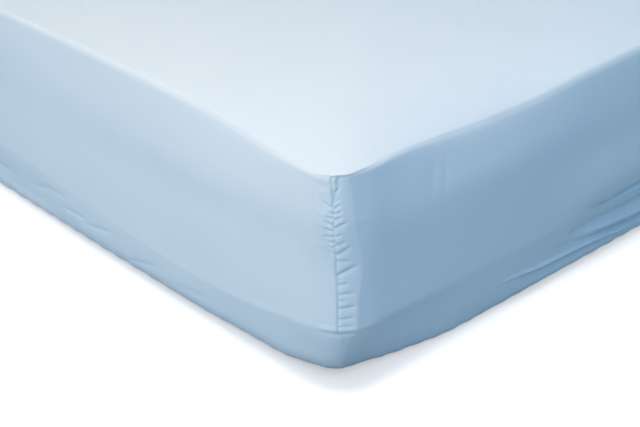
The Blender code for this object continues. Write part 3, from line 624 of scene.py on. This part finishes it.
def refine(bm, low, high, across, down):
    # cuts the cells of the flat grid between two corners: across times along the strip, down times up it
    for axis, cuts in ((0, across), (1, down)):
        if cuts < 2:
            continue
        chosen = []
        for edge in bm.edges:
            a, b = (vert.co for vert in edge.verts)
            level = abs(a[1 - axis] - b[1 - axis]) < hair
            inside = all(low[i] - weld < p[i] < high[i] + weld for p in (a, b) for i in (0, 1))
            if level and inside:
                chosen.append(edge)
        bmesh.ops.subdivide_edges(bm, edges=chosen, cuts=cuts - 1, use_grid_fill=True)


def layWeave(faces, weave):
    # the weave lies in the plane of x and y as the faces are now
    for face in faces:
        for loop in face.loops:
            loop[weave].uv = loop.vert.co[:2]


def layFlat(bm, place):
    # lays the flat grid round the bed, with the weave as it is on the flat cloth
    verts = list(bm.verts)
    flat = np.array([vert.co[:2] for vert in verts])
    weave = bm.loops.layers.uv.new("cloth")
    layWeave(bm.faces, weave)
    for vert, point in zip(verts, place(flat[:, 0], flat[:, 1])):
        vert.co = point
    return verts, flat, weave


def closeLoop(bm, edges):
    made = bmesh.ops.edgeloop_fill(bm, edges=edges)
    return bmesh.ops.triangulate(bm, faces=made["faces"])["faces"]


def makeObject(name, bm, material):
    mesh = bpy.data.meshes.new(name)
    bmesh.ops.recalc_face_normals(bm, faces=bm.faces)
    bm.to_mesh(mesh)
    bm.free()
    mesh.shade_smooth()
    mesh.materials.append(material)
    thing = bpy.data.objects.new(name, mesh)
    bpy.context.scene.collection.objects.link(thing)
    return thing


def sheetGrid(bm):
    rows = [*grid["underDepths"], sectionDepths[floorRow], *rowsUp(grid["heights"], grid["topInsets"])]
    flatGrid(bm, columnsRound(grid["corner"], allowanceSides, grid["runSpacing"]), rows)
    for across, low, high, cuts in grid["seamCuts"]:
        for k in range(4):
            ends = sorted(inStrip(seams[k] + allowanceSides[k] * column) for column in across)
            refine(bm, (ends[0], depthAt(low)), (ends[1], depthAt(high)), *cuts[min(k, 1)])
    for start, end, low, high, cuts in grid["foldCuts"]:
        refine(bm, (start, depthAt(low)), (end, depthAt(high)), *cuts)
    refine(bm, (stripStart, 0.0), (stripStart + girth, grid["underDepths"][-1]), *grid["hemCuts"])
    bmesh.ops.triangulate(bm, faces=[face for face in bm.faces if len(face.verts) > 4])
    print("sheet grid:", len(bm.faces), "faces")


def makeSheet(material):
    bm = bmesh.new()
    sheetGrid(bm)
    verts, flat, weave = layFlat(bm, clothPoints)
    rim = {verts[i] for i in np.nonzero(flat[:, 1] > flat[:, 1].max() - hair)[0]}
    bmesh.ops.remove_doubles(bm, verts=bm.verts, dist=weld)
    rim = [vert for vert in rim if vert.is_valid]
    closeLoop(bm, [edge for edge in bm.edges if edge.is_boundary and all(vert in rim for vert in edge.verts)])
    top = sectionDepths[rimRow] - hair
    layWeave([face for face in bm.faces
              if all(loop[weave].uv.y > top or loop.vert in rim for loop in face.loops)], weave)
    sheet = makeObject("fitted_sheet_cloth", bm, material)
    thicken = sheet.modifiers.new("cloth", "SOLIDIFY")
    thicken.thickness = grid["thickness"]
    thicken.offset = -1.0
    return sheet


# A hem turned twice over a flat elastic: its width, its thickness and how the elastic crumples it. The points
# of its profile are shares of the width, from the turned edge, and of the thickness.
hem = {
    "width": 0.0132,
    "thick": 0.0022,
    "columns": 3000,
    "rippleCount": 640,
    "rippleDrift": ((2.3, 13, 0.4), (1.7, 31, 1.3)),
    "rippleSize": 0.7,
    "rippleSwell": ((0.3, 23, 0.8),),
    "ripple": 0.00035,
    "rippleFade": (0.6, 1.0),
    "scallop": 0.0009,
    "scallopShares": (0.6, 0.4),    # share of the puckers and of the ripples in its edge
    "scallopReach": 0.9,
    "puff": (0.16, 0.1),    # how much both thicken it
    "sink": 0.0003,
    "profile": ((0.0, 0.35), (0.03, 0.75), (0.1, 0.98), (0.28, 1.0), (0.52, 0.96), (0.76, 0.9),
                (0.9, 0.62), (0.97, 0.42), (1.06, 0.36), (1.07, 0.18), (0.97, 0.05), (0.8, 0.02),
                (0.5, 0.0), (0.2, 0.02), (0.03, 0.14)),
}


def hemRipple(station):
    turn = 2 * math.pi * station / girth
    phase = hem["rippleCount"] * turn + wavesRound(turn, hem["rippleDrift"])
    return (hem["rippleSize"] + wavesRound(turn, hem["rippleSwell"])) * np.sin(phase)


def hemEdge(station, inset):
    # the sheet's cut edge under the mattress, drawn in by inset
    return outlineAt(station, inset, np.full_like(inset, sectionColumn("radius")[0]))


def hemPoints(station, across, up):
    ripple, wave = hemRipple(station), puckerWave(station)
    depth = across * hem["width"]
    wavy = hem["scallopShares"][0] * wave + hem["scallopShares"][1] * ripple
    edge = hem["scallop"] * wavy * (1 - rampUp(across, 0.0, hem["scallopReach"]))
    points, _ = hemEdge(station, sectionColumn("inset")[0] - depth + edge)
    base = clothPoints(station, depth)[:, 2] - hem["sink"]
    thick = hem["thick"] * (1 + hem["puff"][0] * wave + hem["puff"][1] * ripple)
    lift = hem["ripple"] * (0.5 + 0.5 * ripple) * (1 - rampUp(across, *hem["rippleFade"]))
    return np.column_stack((points, base + lift + up * thick))


def makeHem(material):
    # closed tube round the bed: a loop of the profile's points at each station
    bm = bmesh.new()
    total, count = hem["columns"], len(hem["profile"])
    step = girth / total
    stations = stripStart + girth * np.arange(total) / total
    across, up = np.array(hem["profile"]).T
    points = hemPoints(np.repeat(stations, count), np.tile(across, total), np.tile(up, total))
    verts = [bm.verts.new(point) for point in points]
    weave = bm.loops.layers.uv.new("cloth")
    for i in range(total):
        j = (i + 1) % total
        for k in range(count):
            m = (k + 1) % count
            corners = ((i, k), (j, k), (j, m), (i, m))
            face = bm.faces.new([verts[a * count + b] for a, b in corners])
            for loop, at, (_, b) in zip(face.loops, (i, i + 1, i + 1, i), corners):
                loop[weave].uv = (stripStart + at * step, across[b] * hem["width"] + up[b] * hem["thick"])
    return makeObject("sheet_hem", bm, material)


# Topstitching that holds the hem, seen from below. across and up are shares of the hem's width and thickness,
# and swell is how a stitch thickens from one end to the other.
thread = {
    "pitch": 0.0036,
    "length": 0.0027,
    "width": 0.00042,
    "across": 0.9,
    "up": 0.02,
    "sink": 0.0001,
    "swell": ((-1.0, 0.25), (-0.55, 1.0), (0.55, 1.0), (1.0, 0.25)),
}


def makeThread(material):
    count = round(girth / thread["pitch"])
    middles = stripStart + girth * (np.arange(count) + 0.5) / count
    bm = bmesh.new()
    rings = []
    for along, swell in thread["swell"]:
        stations = middles + along * thread["length"] / 2
        centre = hemPoints(stations, np.full(count, thread["across"]), np.full(count, thread["up"]))
        _, outward = hemEdge(stations, np.full(count, sectionColumn("inset")[0]))
        half = thread["width"] / 2 * swell
        sink = thread["sink"] * (3 - 2 * swell)
        loops = []
        for side, up in ((1, 0.0), (0, -1.0), (-1, 0.0), (0, 1.0)):
            offset = np.column_stack((outward * side * half, np.full(count, up * half)))
            loops.append(centre + offset + (0, 0, sink))
        rings.append(loops)
    for i in range(count):
        verts = [[bm.verts.new(loops[k][i]) for k in range(4)] for loops in rings]
        for low, high in zip(verts, verts[1:]):
            for k in range(4):
                bm.faces.new((low[k], low[(k + 1) % 4], high[(k + 1) % 4], high[k]))
        bm.faces.new(verts[0][::-1])
        bm.faces.new(verts[-1])
    return makeObject("hem_stitches", bm, material)


# The mattress under the sheet: rows of its underside (inset, height, corner radius), from its flat foot out
# over the hem, then how far its sides lie behind the cloth, more by the seams and behind the folds
mattress = {
    "under": ((0.126, 0.0002, 0.052), (0.1215, 0.0007, 0.055), (0.118, 0.0022, 0.056),
              (0.115, 0.0048, 0.057), (0.111, 0.0062, 0.057), (0.095, 0.0066, 0.057),
              (0.07, 0.0066, 0.055), (0.048, 0.0072, 0.052)),
    "behind": 0.0028,
    "behindSeam": 0.0042,
    "seamReach": 0.03,
    "behindFolds": 0.009,
    "foldsStart": (0.004, 0.012),
    "foldsEnd": (0.085, 0.13),
    "slopeStep": 0.0006,    # the cloth's slope is measured over this length each way
    "heights": (0.014, 0.024, 0.038, 0.052, 0.064, 0.076, 0.095, 0.125, 0.16, 0.195, 0.22, 0.234,
                0.24, 0.244, 0.2475),
    "topInsets": (0.02, 0.045, 0.1, 0.2, 0.36),
    "columns": (-0.08, -0.06, -0.045, -0.03, -0.015, 0.0, 0.015, 0.03, 0.045, 0.06, 0.08),
    "spacing": 0.022,
}


def mattressPoints(station, depth):
    step = mattress["slopeStep"]
    low = sectionAt(station, np.maximum(depth - step, 0.0))
    high = sectionAt(station, np.minimum(depth + step, sectionDepths[-1]))
    run, rise = high[0] - low[0], high[1] - low[1]
    size = np.maximum(np.hypot(run, rise), 1e-9)
    inset, z, radius = sectionAt(station, np.maximum(depth, 0.0))
    near = 1 - rampUp(np.abs(nearestSeam(station)[1]), mattress["seamReach"], bed["cornerRadius"])
    gap = mattress["behind"] + (mattress["behindSeam"] - mattress["behind"]) * near
    gap = gap + mattress["behindFolds"] * within(z, mattress["foldsStart"], mattress["foldsEnd"])
    # the underside has rows of its own, numbered below 0
    under = np.array(mattress["under"])
    row = np.clip(depth + len(under), 0, len(under) - 1)
    ownInset, ownHeight, ownRadius = (np.interp(row, np.arange(len(under)), column) for column in under.T)
    below = depth < 0
    inset = np.where(below, ownInset, inset + gap * rise / size)
    z = np.where(below, ownHeight, z - gap * run / size)
    radius = np.where(below, ownRadius, radius - gap)
    return np.column_stack((outlineAt(station, inset, radius)[0], z))


def makeMattress(material):
    bm = bmesh.new()
    count = len(mattress["under"])
    rows = [float(i - count) for i in range(count)] + rowsUp(mattress["heights"], mattress["topInsets"])
    flatGrid(bm, columnsRound(mattress["columns"], (1, 1, 1, 1), (mattress["spacing"],) * 4), rows)
    weave = layFlat(bm, mattressPoints)[2]
    layWeave(bm.faces, weave)    # the ticking takes its weave from above
    bmesh.ops.remove_doubles(bm, verts=bm.verts, dist=weld)
    for top in (False, True):
        edges = [e for e in bm.edges if e.is_boundary and (e.verts[0].co.z > bed["height"] / 2) == top]
        layWeave(closeLoop(bm, edges), weave)
    return makeObject("mattress_core", bm, material)


def addGroup(name, inputs, outputs):
    group = bpy.data.node_groups.new(name, "ShaderNodeTree")
    for label, kind, value in inputs:
        socket = group.interface.new_socket(name=label, in_out="INPUT", socket_type=kind)
        if value is not None:
            socket.default_value = value
    for label, kind in outputs:
        group.interface.new_socket(name=label, in_out="OUTPUT", socket_type=kind)
    start = group.nodes.new("NodeGroupInput")
    end = group.nodes.new("NodeGroupOutput")
    return group, start.outputs, end.inputs


def mathNode(tree, operation, a, b=None, clamp=False):
    # a and b are sockets or plain numbers
    node = tree.nodes.new("ShaderNodeMath")
    node.operation = operation
    node.use_clamp = clamp
    for socket, value in zip(node.inputs, (a, b)):
        if isinstance(value, bpy.types.NodeSocket):
            tree.links.new(value, socket)
        elif value is not None:
            socket.default_value = value
    return node.outputs[0]


def mixColours(tree, share, first, second):
    # a Mix node keeps its colours in sockets 6 and 7 and gives the mixed one in output 2
    node = tree.nodes.new("ShaderNodeMix")
    node.data_type = "RGBA"
    node.inputs[6].default_value = (*first, 1.0)
    node.inputs[7].default_value = (*second, 1.0)
    tree.links.new(share, node.inputs[0])
    return node.outputs[2]


def stretchedNoise(tree, cloth, stretch, scale, detail):
    # noise drawn out along one direction of the cloth
    mapping = tree.nodes.new("ShaderNodeMapping")
    mapping.inputs["Scale"].default_value = stretch
    tree.links.new(cloth, mapping.inputs["Vector"])
    cloud = tree.nodes.new("ShaderNodeTexNoise")
    cloud.inputs["Detail"].default_value = detail
    tree.links.new(mapping.outputs[0], cloud.inputs["Vector"])
    tree.links.new(scale, cloud.inputs["Scale"])
    return cloud.outputs["Fac"]


# height of a thread where it lies over, of its round body and of the cloth between
weaveShape = {"over": 0.35, "body": 0.3, "base": 0.35}


def makeWovenThreads():
    # Over-and-under crossings of warp and weft. Cloth is the cloth's own plane in metres, Threads the number
    # to a metre, and Twill 1 where each crossing steps sideways as in ticking.
    tree, given, made = addGroup(
        "wovenThreads",
        (("Cloth", "NodeSocketVector", None), ("Threads", "NodeSocketFloat", 3200.0),
         ("Twill", "NodeSocketFloat", 0.0)),
        (("Height", "NodeSocketFloat"), ("Gaps", "NodeSocketFloat")))
    plane = tree.nodes.new("ShaderNodeSeparateXYZ")
    tree.links.new(given["Cloth"], plane.inputs[0])
    turns = mathNode(tree, "MULTIPLY", given["Threads"], math.pi)
    weft = mathNode(tree, "MULTIPLY", plane.outputs["Y"], turns)
    warp = mathNode(tree, "MULTIPLY", plane.outputs["X"], turns)
    warp = mathNode(tree, "ADD", warp, mathNode(tree, "MULTIPLY", weft, given["Twill"]))
    warp, weft = mathNode(tree, "SINE", warp), mathNode(tree, "SINE", weft)
    warpRound, weftRound = mathNode(tree, "ABSOLUTE", warp), mathNode(tree, "ABSOLUTE", weft)
    over = mathNode(tree, "MULTIPLY", mathNode(tree, "MULTIPLY", warp, weft), weaveShape["over"])
    body = mathNode(tree, "MULTIPLY", mathNode(tree, "MINIMUM", warpRound, weftRound), weaveShape["body"])
    height = mathNode(tree, "ADD", mathNode(tree, "ADD", over, body), weaveShape["base"])
    tree.links.new(height, made["Height"])
    # the gaps between the threads, which the material darkens with painted shade
    gaps = mathNode(tree, "SUBTRACT", 1.0, mathNode(tree, "MAXIMUM", warpRound, weftRound))
    tree.links.new(gaps, made["Gaps"])
    return tree


# how far the noise is drawn out for threads along and across the cloth and for its soft clouds, how fine it
# is, and how much of a thread's thickness shows in its tone
slubShape = {
    "along": (28.0, 900.0, 1.0),
    "across": (900.0, 34.0, 1.0),
    "threadDetail": 1.5,
    "clouds": (9.0, 12.0, 1.0),
    "cloudDetail": 3.0,
    "threadTone": 0.6,
}


def makeThreadSlubs():
    # Uneven yarn: threads here and there run a little thick or pale, along and across the cloth
    tree, given, made = addGroup(
        "threadSlubs",
        (("Cloth", "NodeSocketVector", None), ("Scale", "NodeSocketFloat", 1.0),
         ("Amount", "NodeSocketFloat", 0.5)),
        (("Thick", "NodeSocketFloat"), ("Tone", "NodeSocketFloat")))
    cloth, scale = given["Cloth"], given["Scale"]
    along = stretchedNoise(tree, cloth, slubShape["along"], scale, slubShape["threadDetail"])
    across = stretchedNoise(tree, cloth, slubShape["across"], scale, slubShape["threadDetail"])
    clouds = stretchedNoise(tree, cloth, slubShape["clouds"], scale, slubShape["cloudDetail"])
    uneven = mathNode(tree, "SUBTRACT", mathNode(tree, "ADD", along, across), 1.0)
    thick = mathNode(tree, "MULTIPLY", uneven, given["Amount"])
    tree.links.new(thick, made["Thick"])
    soft = mathNode(tree, "MULTIPLY", mathNode(tree, "SUBTRACT", clouds, 0.5), given["Amount"])
    tone = mathNode(tree, "ADD", mathNode(tree, "MULTIPLY", thick, slubShape["threadTone"]), soft)
    tree.links.new(mathNode(tree, "ADD", tone, 0.5, clamp=True), made["Tone"])
    return tree


# threads to a metre, how uneven they are, their colours, how much painted shade darkens the gaps between
# them, how rough they are, how high the weave and its slubs stand in metres, and how the cloth shines
cottonLook = {
    "threads": 3600.0,
    "twill": 0.0,
    "slubs": 0.55,
    "dark": (0.475, 0.67, 0.852),
    "light": (0.535, 0.72, 0.888),
    "gapPaintedShade": 0.25,
    "rough": (0.74, 0.92),
    "weaveHeight": 0.000045,
    "slubHeight": 0.00003,
    "sheen": 0.12,
    "sheenRough": 0.45,
    "specular": 0.22,
}
tickingLook = {
    "threads": 1500.0,
    "twill": 1.0,
    "slubs": 0.8,
    "dark": (0.76, 0.745, 0.7),
    "light": (0.87, 0.86, 0.83),
    "gapPaintedShade": 0.25,
    "rough": (0.8, 0.95),
    "weaveHeight": 0.00014,
    "slubHeight": 0.00008,
    "sheen": 0.05,
    "sheenRough": 0.5,
    "specular": 0.2,
}
threadLook = dict(cottonLook, threads=5200.0, twill=1.0, dark=(0.6, 0.75, 0.87), light=(0.7, 0.82, 0.92))


def wovenMaterial(name, look, weaveTree, slubTree):
    material = bpy.data.materials.new(name)
    material.use_nodes = True
    tree = material.node_tree
    shader = tree.nodes["Principled BSDF"]
    plane = tree.nodes.new("ShaderNodeUVMap")
    plane.uv_map = "cloth"
    threads = tree.nodes.new("ShaderNodeGroup")
    threads.node_tree = weaveTree
    threads.inputs["Threads"].default_value = look["threads"]
    threads.inputs["Twill"].default_value = look["twill"]
    slubs = tree.nodes.new("ShaderNodeGroup")
    slubs.node_tree = slubTree
    slubs.inputs["Amount"].default_value = look["slubs"]
    for group in (threads, slubs):
        tree.links.new(plane.outputs["UV"], group.inputs["Cloth"])
    # the gaps between the threads are darkened in the base colour: painted shade
    gaps = mathNode(tree, "MULTIPLY", threads.outputs["Gaps"], look["gapPaintedShade"])
    shade = mathNode(tree, "SUBTRACT", slubs.outputs["Tone"], gaps)
    tree.links.new(mixColours(tree, shade, look["dark"], look["light"]), shader.inputs["Base Color"])
    rough = tree.nodes.new("ShaderNodeMapRange")
    rough.inputs["To Min"].default_value, rough.inputs["To Max"].default_value = look["rough"]
    tree.links.new(slubs.outputs["Tone"], rough.inputs["Value"])
    tree.links.new(rough.outputs[0], shader.inputs["Roughness"])
    fine = mathNode(tree, "MULTIPLY", threads.outputs["Height"], look["weaveHeight"])
    coarse = mathNode(tree, "MULTIPLY", slubs.outputs["Thick"], look["slubHeight"])
    bump = tree.nodes.new("ShaderNodeBump")
    bump.inputs["Distance"].default_value = 1.0
    tree.links.new(mathNode(tree, "ADD", fine, coarse), bump.inputs["Height"])
    tree.links.new(bump.outputs[0], shader.inputs["Normal"])
    shader.inputs["Sheen Weight"].default_value = look["sheen"]
    shader.inputs["Sheen Roughness"].default_value = look["sheenRough"]
    shader.inputs["Specular IOR Level"].default_value = look["specular"]
    return material


weaveGroup, slubGroup = makeWovenThreads(), makeThreadSlubs()
cotton = wovenMaterial("pale_blue_cotton", cottonLook, weaveGroup, slubGroup)
ticking = wovenMaterial("plain_ticking", tickingLook, weaveGroup, slubGroup)
sewingThread = wovenMaterial("sewing_thread", threadLook, weaveGroup, slubGroup)
print("cloths made: cotton, ticking, thread")

sheet = makeSheet(cotton)
sheetHem = makeHem(cotton)
stitches = makeThread(sewingThread)
core = makeMattress(ticking)
for piece in (sheet, sheetHem, stitches, core):
    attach(piece, "root")
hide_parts("fitted_sheet")
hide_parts("mattress")

# plain soft studio light: where each lamp stands and aims, how wide it is, its watts and its colour
lights = {
    "frontLeft": ((-0.73, -2.87, 0.97), (0.4, -0.92, 0.15), 1.2, 15.5, (1.0, 0.95, 0.92)),
    "frontLow": ((1.53, -2.87, 0.97), (0.4, -0.92, 0.15), 1.2, 7.9, (0.98, 0.99, 1.0)),
    "frontRight": ((1.17, -2.26, 1.99), (0.4, -0.92, 0.15), 1.2, 16.4, (1.0, 0.97, 0.95)),
    "overCorner": ((0.26, -1.31, 1.28), (0.4, -0.92, 0.15), 0.8, 10.7, (1.0, 0.61, 0.38)),
    "side": ((1.51, -0.66, 0.95), (0.45, -0.75, 0.2), 0.7, 2.8, (0.07, 0.61, 1.0)),
    "back": ((0.2, 1.52, 2.37), (0.2, -0.6, 0.25), 1.6, 40.7, (1.0, 1.0, 0.99)),
}
studio = {
    "world": 0.15,
    "worldColour": (1.0, 1.0, 1.07),
    # light on the floor alone, so that it shows as plain white: how wide, how strong and how far it leans
    "wash": ((170.0, 1.5, 0.0), (17.0, 0.95, 2.0)),
    "floorSize": 12.0,
    "floorDrop": 0.0003,
    "floorShown": 0.9,
    "floorBounce": (0.5, 0.55, 0.57),    # how much of its light the floor throws back on the cloth
    "floorGlow": 0.38,    # what the camera sees on top, so that the shadow is a pale one
}


def makeLights(pieces, ground):
    for name, (place, aim, size, watts, colour) in lights.items():
        data = bpy.data.lights.new(name, "AREA")
        data.shape = "DISK"
        data.size = size
        data.energy = watts
        data.color = colour
        light = bpy.data.objects.new(name, data)
        light.location = place
        light.rotation_euler = (Vector(aim) - Vector(place)).to_track_quat("-Z", "Y").to_euler()
        bpy.context.scene.collection.objects.link(light)
        light.light_linking.receiver_collection = pieces
    for angle, strength, tilt in studio["wash"]:
        data = bpy.data.lights.new("floor_wash", "SUN")
        data.energy = strength
        data.angle = math.radians(angle)
        wash = bpy.data.objects.new("floor_wash", data)
        wash.rotation_euler = (math.radians(tilt), 0.0, math.radians(cameraSet["turn"]))
        wash.light_linking.receiver_collection = ground
        bpy.context.scene.collection.objects.link(wash)
    world = bpy.data.worlds.new("studio")
    world.use_nodes = True
    air = world.node_tree.nodes["Background"]
    air.inputs["Color"].default_value = (*studio["worldColour"], 1.0)
    air.inputs["Strength"].default_value = studio["world"]
    bpy.context.scene.world = world


def makeFloor():
    # plain white to the camera, and duller in the light that it throws back
    material = bpy.data.materials.new("white_floor")
    material.use_nodes = True
    tree = material.node_tree
    shader = tree.nodes["Principled BSDF"]
    shader.inputs["Roughness"].default_value = 1.0
    shader.inputs["Specular IOR Level"].default_value = 0.0
    shader.inputs["Emission Color"].default_value = (1.0, 1.0, 1.0, 1.0)
    seen = tree.nodes.new("ShaderNodeLightPath").outputs["Is Camera Ray"]
    colour = mixColours(tree, seen, studio["floorBounce"], (studio["floorShown"],) * 3)
    tree.links.new(colour, shader.inputs["Base Color"])
    tree.links.new(mathNode(tree, "MULTIPLY", seen, studio["floorGlow"]), shader.inputs["Emission Strength"])
    mesh = bpy.data.meshes.new("floor")
    bm = bmesh.new()
    bmesh.ops.create_grid(bm, x_segments=1, y_segments=1, size=studio["floorSize"])
    bm.to_mesh(mesh)
    bm.free()
    mesh.materials.append(material)
    floor = bpy.data.objects.new("floor", mesh)
    floor.location.z = -studio["floorDrop"]
    bpy.context.scene.collection.objects.link(floor)
    floor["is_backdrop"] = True
    return floor


def collectionOf(name, things):
    # a lamp is told what it shines on by a collection
    made = bpy.data.collections.new(name)
    for thing in things:
        made.objects.link(thing)
    return made


ground = makeFloor()
makeLights(collectionOf("bed_pieces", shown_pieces()), collectionOf("ground", [ground]))
bpy.context.scene.view_settings.view_transform = "Standard"
print("floor and lamps placed")
